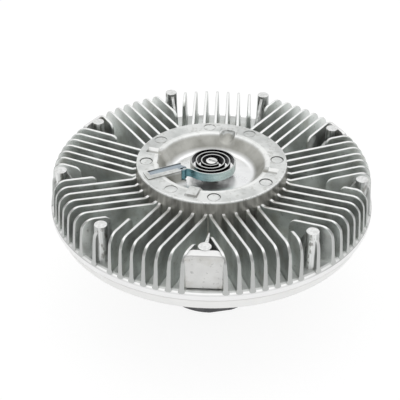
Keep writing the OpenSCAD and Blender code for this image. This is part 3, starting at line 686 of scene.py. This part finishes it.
# Posts
# Nine round posts between the sectors, where the ejector pins push the casting out of the die.
# Each is stiffened by a web towards the hub, and the six near the rim by a fin out to the rim.
POST_RADIUS = 4.7
POST_FOOT_RADIUS = 5.5
POST_FOOT = 89.5
POST_TOP = 120
WEB_REACH = 22
WEB_TOP = 118.6
FRONT_WEB_LEAN = 2.2
FRONT_WEB_END = 115.4
SLOPING_WEB_TOPS = (93, 113)
SHORT_WEB_REACH = 4.2
POST_PLACES = {"long": 110, "sloping": 110, "short": 115.5}


def cast_post(r, web_kind):
    """One post with its web, on the X axis at a distance from the spin axis."""
    post = drum((r, 0), POST_FOOT_RADIUS, POST_FOOT, POST_TOP, POST_RADIUS, 36)
    edit(post)
    pick("FACE", lambda p: p.z > 0.1199)
    bpy.ops.mesh.bevel(offset=0.5 * MM, segments=3, affect="EDGES")
    settle(post, "post")
    web = block((r - WEB_REACH, -1.3, POST_FOOT), (r, 1.3, WEB_TOP))
    edit(web)
    mesh = bmesh.from_edit_mesh(web.data)
    for corner in mesh.verts:
        inner_end = corner.co.x < (r - 1) * MM
        upper = corner.co.z > 0.1
        if web_kind == "short":
            if inner_end and upper:
                corner.co.x = (r - SHORT_WEB_REACH) * MM
            continue
        corner.co.y = math.copysign(0.6 * MM if inner_end else 2 * MM, corner.co.y)
        if web_kind == "long" and inner_end:
            corner.co.y += FRONT_WEB_LEAN * MM
            corner.co.z = FRONT_WEB_END * MM if upper else corner.co.z
        elif web_kind == "sloping" and upper:
            corner.co.z = SLOPING_WEB_TOPS[0 if inner_end else 1] * MM
    bmesh.update_edit_mesh(web.data)
    settle(web, "web")
    soften(web, 0.5, 3)
    pieces = [post, web]
    if web_kind == "short":
        rim_fin = cast_fin(r - 20, 0, 1.4, 1.8)
        edit(rim_fin)
        bpy.ops.mesh.select_all(action="SELECT")
        bpy.ops.mesh.bisect(plane_co=(r * MM, 0, 0), plane_no=(1, 0, 0), use_fill=True,
                            clear_inner=True)
        pieces.append(settle(rim_fin, "rim_fin"))
    return join(pieces, "post")


post_models = {web_kind: cast_post(r, web_kind) for web_kind, r in POST_PLACES.items()}
posts = []
for number in range(SECTORS):
    post = copy_of(post_models["long" if number == 0 else "short" if number % 3 else "sloping"])
    posts.append(turn(post, math.radians(-90) + number * 2 * math.pi / SECTORS))
for model in post_models.values():
    bpy.data.objects.remove(model)
cover_posts = join(posts, "cover_posts")
smooth(cover_posts, 35)
finish, tree, shader, place = cast_skin("post_cast", 0.36)[:4]
radius = axis_values(tree, place)[0]
up = facing(tree, place)[0]
# Drag marks down the flanks, with painted streaks of highlight among them
drag_streaks_and_glints = grain(tree, place, 380, 4, stretch=(1, 1, 0.05))
scars = level(tree, grain(tree, place, 420, 5, stretch=(1, 1, 0.4)), 0.53, 0.62, 0, 0.8)
flank_colour = tones(tree, drag_streaks_and_glints, [(0.36, (0.35, 0.36, 0.355, 1)), (0.62, (0.83, 0.84, 0.83, 1))])
top_colour = tones(tree, grain(tree, place, 520, 4),
                   [(0.40, (0.62, 0.625, 0.615, 1)), (0.58, (0.75, 0.755, 0.75, 1))])
# Painted light and shade: the tops are lightened and the rim fins' outer ends darkened
colour = lay_over(tree, flank_colour, [
    (scars, (0.24, 0.235, 0.215, 1)),
    (level(tree, radius, 0.1205, 0.1211), (0.55, 0.56, 0.55, 1)),
    (level(tree, up, 0.3, 0.8), top_colour)])
tree.links.new(colour, shader.inputs["Base Color"])
cover_posts.data.materials.append(finish)
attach(cover_posts, "housing")


# Flat pads
# Three flat faces on the outside of the cover, cast between two fins and left for a balance mark
# or a drilling. The top edge of each slopes away, and a thin groove runs along its foot. The two
# at the rear stand further in.
PAD_BACK = 113.6
PAD_HALF_INNER = 11.82
PAD_SPREAD = 0.336
PAD_FACES = {"front": 120.3, "rear": 117}
PAD_FOOT = 89.5
PAD_TOP = 119.3
PAD_GROOVE = (90.3, 91.2)


def flat_pad(face):
    """One pad across the front, with its face at a distance from the axis."""
    half_outer = PAD_HALF_INNER + PAD_SPREAD * (face - PAD_BACK)
    pad = block((-half_outer, -face, PAD_FOOT), (half_outer, -PAD_BACK, PAD_TOP))
    edit(pad)
    mesh = bmesh.from_edit_mesh(pad.data)
    for corner in mesh.verts:
        if corner.co.y > -(PAD_BACK + 1) * MM:
            corner.co.x = math.copysign(PAD_HALF_INNER * MM, corner.co.x)
    bmesh.update_edit_mesh(pad.data)
    pick("EDGE", lambda p: p.z > 0.119 and abs(p.x) > 0.0115)
    bpy.ops.mesh.bevel(offset=4 * MM, segments=5, affect="EDGES")
    pick("EDGE", lambda p: p.z > 0.1152 and p.y < -(face - 0.1) * MM)
    bpy.ops.mesh.bevel(offset=1.2 * MM, segments=2, affect="EDGES")
    settle(pad, "pad")
    carve(pad, block((-20, -face - 0.7, PAD_GROOVE[0]), (20, -face + 1.9, PAD_GROOVE[1])))
    soften(pad, 0.3, 2)
    return pad


pads = [turn(flat_pad(PAD_FACES["rear" if number else "front"]), number * 2 * math.pi / 3)
        for number in range(3)]
cover_pads = join(pads, "cover_pads")
smooth(cover_pads, 35)
finish, tree, shader, place, pad_colour = cast_aluminium(
    "pad_cast", (0.76, 0.76, 0.75, 1), (0.60, 0.60, 0.59, 1), 0.48)
up = facing(tree, place)[0]
# Painted light and shade: the top is lightened and its sloping edges darkened
colour = lay_over(tree, pad_colour, [
    (level(tree, up, 0.1, 0.6), (0.76, 0.76, 0.755, 1)),
    (band(tree, up, (0.15, 0.35), (0.70, 0.90), 0.55), (0.36, 0.36, 0.355, 1))])
tree.links.new(colour, shader.inputs["Base Color"])
cover_pads.data.materials.append(finish)
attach(cover_pads, "housing")


# Coil keeper
# A steel strip pressed into the slot of the bar, its end rolled round the tail of the coil.
# Zinc plated with a bluish cast, and blued round the roll as the tail is.
BLUED = (0.15, 0.30, 0.34, 1)

keeper = in_bar_frame(block((-26.8, -2.8, 118), (0.4, 2.8, 120.2)))
soften(keeper, 0.25, 2)
barrel = drum(BARREL, 3.4, 112, 120.2)
carve(barrel, drum(BARREL, 1.7, 112.7, 124))
carve(barrel, block((BARREL[0], BARREL[1] - 0.9, 112.7), (BARREL[0] + 12, BARREL[1] + 0.9, 124)))
soften(barrel, 0.3, 2, 50)
coil_keeper = join([keeper, barrel], "keeper_strip")
smooth(coil_keeper, 30)


def rolled_steel(name, light, dark, roughness):
    """Steel with fine rolling lines and faint clouds."""
    finish, tree, shader, place = new_finish(name, 1.0, roughness)
    clouds = grain(tree, place, 90, 4)
    lines = grain(tree, place, 160, 5, stretch=(1, 1, 6))
    colour = tones(tree, clouds, [(0.3, dark), (0.7, light)])
    tree.links.new(colour, shader.inputs["Base Color"])
    tree.links.new(level(tree, lines, 0.3, 0.7, roughness - 0.08, roughness + 0.1),
                   shader.inputs["Roughness"])
    raise_surface(tree, shader, [(lines, 0.15, 0.04)])
    return finish, tree, shader, place, colour


finish, tree, shader, place, zinc_colour = rolled_steel(
    "keeper_zinc", (0.36, 0.43, 0.475, 1), (0.33, 0.36, 0.40, 1), 0.3)
flat_place = reckon_way(tree, "MULTIPLY", place, OFF_AXIS)
from_roll = reckon_way(tree, "DISTANCE", flat_place, (BARREL[0] * MM, BARREL[1] * MM, 0))
up = facing(tree, place)[0]
roll_side = overlap(tree, level(tree, from_roll, 0.0042, 0.0037), level(tree, up, 0.6, 0.3))
colour = blend_colours(tree, roll_side, zinc_colour, BLUED)
tree.links.new(colour, shader.inputs["Base Color"])
coil_keeper.data.materials.append(finish)
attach(coil_keeper, "housing")
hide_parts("coil_keeper")


# Thermostat coil
# A spiral of bimetal strip, tail held by the keeper and inner end in the slotted valve shaft.
# It winds up as the air warms it and turns the valve. Its flat sides are blued, its edges bright, and the
# faces hidden between its turns are painted near black as shade.
BOWL_FLOOR = 108 * MM
COIL_RADIUS = 19.4
COIL_PITCH = 4.05
COIL_TURNS = 3.2
COIL_START = -130
COIL_LEAD = 2.4
STRIP_HEIGHT = 7
STRIP_THICKNESS = 1.2
TURN_STEPS = 72
TINT_STEPS = 14
TANG_TURN = math.radians(COIL_START + 360 * COIL_TURNS + 30)


def polar(r, angle):
    """Point at a radius and an angle in radians."""
    return Vector((r * math.cos(angle), r * math.sin(angle)))


def drawn_curve(first, towards, last, steps):
    """Points of a curve between two points, drawn towards a third."""
    points = []
    for i in range(steps + 1):
        s = i / steps
        points.append((1 - s) ** 2 * first + 2 * s * (1 - s) * towards + s * s * last)
    return points


coil_start = polar(COIL_RADIUS, math.radians(COIL_START))
start_way = polar(1, math.radians(COIL_START + 90))
tail = Vector(BARREL)
corner = coil_start - start_way * ((coil_start.y - tail.y) / start_way.y)
spiral = []
for i in range(1, int(TURN_STEPS * COIL_TURNS) + 1):
    way = math.radians(COIL_START + 360 / TURN_STEPS * i)
    spiral.append(polar(COIL_RADIUS - COIL_PITCH * i / TURN_STEPS, way))
end = spiral[-1]
end_turn = math.radians(COIL_START + 360 / TURN_STEPS * len(spiral))
inward = drawn_curve(end, polar(end.length / math.cos(TANG_TURN - end_turn), TANG_TURN),
                     polar(4.4, TANG_TURN), 8)[1:]
tail_points = [tail + Vector((0.4, 0)), tail + Vector((3, 0))]
lead_in = drawn_curve(corner - Vector((COIL_LEAD, 0)), corner, coil_start, 10)
coil_points = tail_points + lead_in + spiral + inward + [polar(-1.6, TANG_TURN)]
coil = draw_line([(p.x * MM, p.y * MM, FRONT - STRIP_HEIGHT * MM) for p in coil_points])
bpy.ops.mesh.select_all(action="SELECT")
bpy.ops.mesh.extrude_edges_move(TRANSFORM_OT_translate={"value": (0, 0, STRIP_HEIGHT * MM)})
bpy.ops.mesh.select_all(action="SELECT")
bpy.ops.mesh.normals_make_consistent(inside=False)
settle(coil, "thermostat_coil")
apply_modifier(coil, "SOLIDIFY", thickness=STRIP_THICKNESS * MM, offset=0, use_even_offset=True)
soften(coil, 0.3, 3, 50)
smooth(coil, 40)

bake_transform(coil, "housing", "valve", start=(0, 0, FRONT), end=(0, 0, BOWL_FLOOR))
fixed = len(tail_points) + len(lead_in) - 1
moving = fixed + len(spiral)
outer_turn = fixed + TURN_STEPS
weights = coil.data.attributes["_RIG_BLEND"].data
open_side = coil.data.attributes.new("open_side", "FLOAT", "POINT").data
for number, point in enumerate(coil.data.vertices):
    spot = Vector((point.co.x, point.co.y)) / MM
    nearest = min(range(len(coil_points)), key=lambda i: (coil_points[i] - spot).length_squared)
    weights[number].value = min(max((nearest - fixed) / (moving - fixed), 0), 1)
    shows = nearest < fixed or nearest < outer_turn and spot.length > coil_points[nearest].length
    along = nearest - fixed
    to_light = min(max(along / TINT_STEPS, 0), 1)
    to_grey = min(max(along / TINT_STEPS - 1, 0), 1)
    tint = 0.5 + 0.5 * to_light + to_grey
    # Faces hidden between the turns get nothing here, which the finish paints near black as shade
    open_side[number].value = tint if shows else 0

finish, tree, shader, place, strip_colour = rolled_steel(
    "bimetal", (0.61, 0.745, 0.725, 1), (0.44, 0.545, 0.53, 1), 0.3)
side = tree.nodes.new("ShaderNodeAttribute")
side.attribute_name = "open_side"
along_strip = side.outputs["Fac"]
inner_turns_shade = (0.03, 0.03, 0.032, 1)
bare_edge_colour = (0.55, 0.56, 0.55, 1)
edge_on = reckon(tree, "ABSOLUTE", facing(tree, place)[0])
colour = blend_colours(tree, level(tree, along_strip, 0.5, 0.95), BLUED, strip_colour)
colour = blend_colours(tree, level(tree, along_strip, 1.1, 2), colour, (0.35, 0.36, 0.34, 1))
# Painted shade: the faces between the turns are near black
colour = blend_colours(tree, level(tree, along_strip, 0.2, 0.4), inner_turns_shade, colour)
colour = blend_colours(tree, level(tree, edge_on, 0.75, 0.98), colour, bare_edge_colour)
tree.links.new(colour, shader.inputs["Base Color"])
coil.data.materials.append(finish)
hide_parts("bimetal_coil")


# Valve shaft
# A turned steel shaft through the bush in the bowl floor, slotted at its end for the coil's tang.
# The arm on its lower end uncovers the feed opening.
shaft_section = [(0.05, 85.85), (4, 85.85), (4, 94.8), (3.1, 94.8), (3.1, 95.8), (4, 95.8),
                 (4, 102.1), (2.4, 102.1), (2.4, 103.9), (4, 103.9), (4, 108.4), (4.5, 108.4),
                 (4.5, 119.4), (4.3, 119.8), (3.9, 120), (0.05, 120)]
valve_shaft = spin_section("shaft_end", shaft_section, 40)
slot = block((-2.4, -0.9, 112.8), (7.6, 0.9, 125))
carve(valve_shaft, turn(slot, TANG_TURN))
smooth(valve_shaft, 30)


def turning_rings(tree, place):
    """Fine rings about the spin axis, as a lathe leaves them."""
    radius, height = axis_values(tree, place)
    rings = tree.nodes.new("ShaderNodeCombineXYZ")
    tree.links.new(radius, rings.inputs["X"])
    tree.links.new(height, rings.inputs["Y"])
    return grain(tree, rings.outputs["Vector"], 2600, 2)


def turned_steel(name, light, dark, roughness):
    """Steel with fine turning rings about the spin axis."""
    finish, tree, shader, place = new_finish(name, 1.0, roughness)
    clouds = grain(tree, place, 130, 4)
    tree.links.new(tones(tree, clouds, [(0.3, dark), (0.7, light)]), shader.inputs["Base Color"])
    lines = turning_rings(tree, place)
    tree.links.new(level(tree, lines, 0.3, 0.7, roughness - 0.06, roughness + 0.1),
                   shader.inputs["Roughness"])
    raise_surface(tree, shader, [(lines, 0.12, 0.03)])
    return finish


bright_steel = turned_steel("bright_steel", (0.82, 0.82, 0.81, 1), (0.66, 0.66, 0.65, 1), 0.24)
valve_shaft.data.materials.append(bright_steel)
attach(valve_shaft, "valve")
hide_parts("valve_shaft")


# Drive hub
# A forged and turned steel shaft with a square-drilled flange, bolted to the water pump. It has a
# dull dark phosphate coat.
def dress(finish, *names):
    """Gives CAD nodes a finish."""
    for name in names:
        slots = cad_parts[name].data.materials
        slots.clear()
        slots.append(finish)


finish, tree, shader, place = new_finish("phosphate", 0.85, 0.5)
coat = grain(tree, place, 140, 6)
crystals = grain(tree, place, 1800, 3)
coat_colour = tones(tree, coat, [(0.3, (0.085, 0.085, 0.09, 1)), (0.7, (0.15, 0.15, 0.155, 1))])
rings = turning_rings(tree, place)
height = axis_values(tree, place)[1]
up = facing(tree, place)[0]
bare_face = overlap(tree, level(tree, up, -0.95, -0.98), level(tree, height, 0.0004, 0.0002, 0, 0.8))
bare_colour = tones(tree, rings, [(0.3, (0.26, 0.26, 0.265, 1)), (0.7, (0.42, 0.42, 0.42, 1))])
tree.links.new(blend_colours(tree, bare_face, coat_colour, bare_colour), shader.inputs["Base Color"])
tree.links.new(level(tree, coat, 0.3, 0.7, 0.42, 0.6), shader.inputs["Roughness"])
raise_surface(tree, shader, [(crystals, 0.2, 0.04), (rings, 0.1, 0.03)])
dress(finish, "drive_hub", "bearing_circlip")


# Rear body
# The rear half of the housing: an aluminium casting with the bearing's boss, ribs, the spigot that
# centres the fan and eight bosses for its bolts. The spigot and the ends of the bosses are turned.
finish, tree, shader, place, body_colour = cast_aluminium(
    "body_cast", (0.72, 0.73, 0.72, 1), (0.50, 0.51, 0.505, 1), 0.45)
radius, height = axis_values(tree, place)
up, outward = facing(tree, place)
turned_colour = tones(tree, turning_rings(tree, place),
                      [(0.3, (0.76, 0.76, 0.76, 1)), (0.7, (0.93, 0.93, 0.92, 1))])
turned_ends = overlap(tree, level(tree, up, -0.92, -0.98), level(tree, height, 0.0568, 0.0563))
spigot_side = overlap(tree, level(tree, outward, 0.92, 0.98),
                      band(tree, radius, (0.0756, 0.0758), (0.0762, 0.0764)))
colour = lay_over(tree, body_colour, [(turned_ends, turned_colour), (spigot_side, turned_colour)])
tree.links.new(colour, shader.inputs["Base Color"])
dress(finish, "rear_body")


# Bearing
# A sealed ball bearing, pressed into the boss of the rear body and held there by a circlip. Its
# rings and balls are ground steel, its cage is moulded and its two seals are rubber.
dress(bright_steel, "bearing_outer_ring", "bearing_inner_ring", "bearing_balls")
finish, tree, shader, place = new_finish("cage_plastic", 0.0, 0.45)
flow = grain(tree, place, 200, 4)
tree.links.new(tones(tree, flow, [(0.3, (0.50, 0.38, 0.22, 1)), (0.7, (0.64, 0.51, 0.33, 1))]),
               shader.inputs["Base Color"])
raise_surface(tree, shader, [(flow, 0.1, 0.05)])
dress(finish, "bearing_cage")
finish, tree, shader, place = new_finish("seal_rubber", 0.0, 0.55)
bloom = grain(tree, place, 260, 5)
tree.links.new(tones(tree, bloom, [(0.3, (0.012, 0.012, 0.012, 1)), (0.75, (0.035, 0.035, 0.036, 1))]),
               shader.inputs["Base Color"])
tree.links.new(level(tree, bloom, 0.3, 0.7, 0.45, 0.68), shader.inputs["Roughness"])
raise_surface(tree, shader, [(bloom, 0.15, 0.05)])
dress(finish, "bearing_seals", "rim_seal", "valve_seal")


# Rotor, valve and reservoir
# Inside the housing: the turned rotor on the drive shaft, its washer and nut, the plate that closes
# the reservoir, the dam, the valve arm and the sintered bush.
dress(turned_steel("rotor_turned", (0.82, 0.82, 0.81, 1), (0.70, 0.70, 0.69, 1), 0.3), "rotor")
zinc = rolled_steel("zinc_plate", (0.72, 0.73, 0.75, 1), (0.55, 0.56, 0.58, 1), 0.32)[0]
dress(zinc, "rotor_washer", "rotor_nut", "partition_plate", "partition_rivets", "scavenge_dam",
      "valve_arm", "valve_clip", "fill_plug")
finish, tree, shader, place = new_finish("sintered_bronze", 1.0, 0.42)
pores = grain(tree, place, 1500, 3)
tree.links.new(tones(tree, pores, [(0.3, (0.42, 0.28, 0.13, 1)), (0.6, (0.66, 0.46, 0.25, 1))]),
               shader.inputs["Base Color"])
raise_surface(tree, shader, [(pores, 0.25, 0.05)])
dress(finish, "valve_bush")


# Studio
# A pale floor under the clutch, a white room, one broad lamp above and the camera in front.
FLOOR_WHITE = 0.86
FLOOR_SEEN = (0.22, 0.22, 0.22, 1)
ROOM_LIGHT = 0.65
LAMP_PLACE = (0, 0.3, 1.3)
LAMP_SIZE = 1.6
LAMP_POWER = 3.2
CAMERA_PLACE = (0.024658, -0.665825, 0.536926)
CAMERA_RIGHT = Vector((0.99864201, 0.05204025, 0.00243859))
CAMERA_UP = Vector((-0.03131418, 0.56218713, 0.826417))
CAMERA_LENS = 91.8245

deselect()
bpy.ops.mesh.primitive_plane_add(size=8, location=(0, 0, 0))
floor = settle(bpy.context.object, "studio_floor")
finish, tree, shader, place = new_finish("studio_floor", 0.0, 0.7)
paper = grain(tree, place, 3, 3)
paper_colour = tones(tree, paper, [(0.3, (0.93, 0.93, 0.93, 1)), (0.7, (0.95, 0.95, 0.95, 1))])
shader.inputs["Specular IOR Level"].default_value = 0.0


def seen_directly(tree):
    """One for rays from the camera or off polished surfaces, nothing for the light itself."""
    rays = tree.nodes.new("ShaderNodeLightPath").outputs
    seen = reckon(tree, "MAXIMUM", rays["Is Camera Ray"], rays["Is Glossy Ray"])
    return reckon(tree, "MAXIMUM", seen, rays["Is Transmission Ray"])


seen = seen_directly(tree)
tree.links.new(blend_colours(tree, seen, paper_colour, FLOOR_SEEN), shader.inputs["Base Color"])
shader.inputs["Emission Color"].default_value = (1, 1, 1, 1)
tree.links.new(level(tree, seen, 0, 1, 0, FLOOR_WHITE), shader.inputs["Emission Strength"])
floor.data.materials.append(finish)

world = bpy.data.worlds.new("white_room")
bpy.context.scene.world = world
world.use_nodes = True
tree = world.node_tree
room = tree.nodes["Background"]
room.inputs["Color"].default_value = (1, 1, 1, 1)
tree.links.new(level(tree, seen_directly(tree), 0, 1, ROOM_LIGHT, 1), room.inputs["Strength"])

bpy.ops.object.light_add(type="AREA", location=LAMP_PLACE)
lamp = bpy.context.object
lamp.name = "overhead_lamp"
lamp.data.shape = "SQUARE"
lamp.data.size = LAMP_SIZE
lamp.data.energy = LAMP_POWER
lamp.rotation_euler = (Vector((0, 0, 0.1)) - lamp.location).to_track_quat("-Z", "Y").to_euler()

bpy.ops.object.camera_add()
camera = bpy.context.object
camera.name = "photo_camera"
camera.data.sensor_width = 36
camera.data.lens = CAMERA_LENS
camera_axes = Matrix((CAMERA_RIGHT, CAMERA_UP, CAMERA_RIGHT.cross(CAMERA_UP))).transposed()
camera.matrix_world = Matrix.Translation(CAMERA_PLACE) @ camera_axes.to_4x4()
bpy.context.scene.camera = camera
bpy.context.scene.view_settings.view_transform = "Standard"
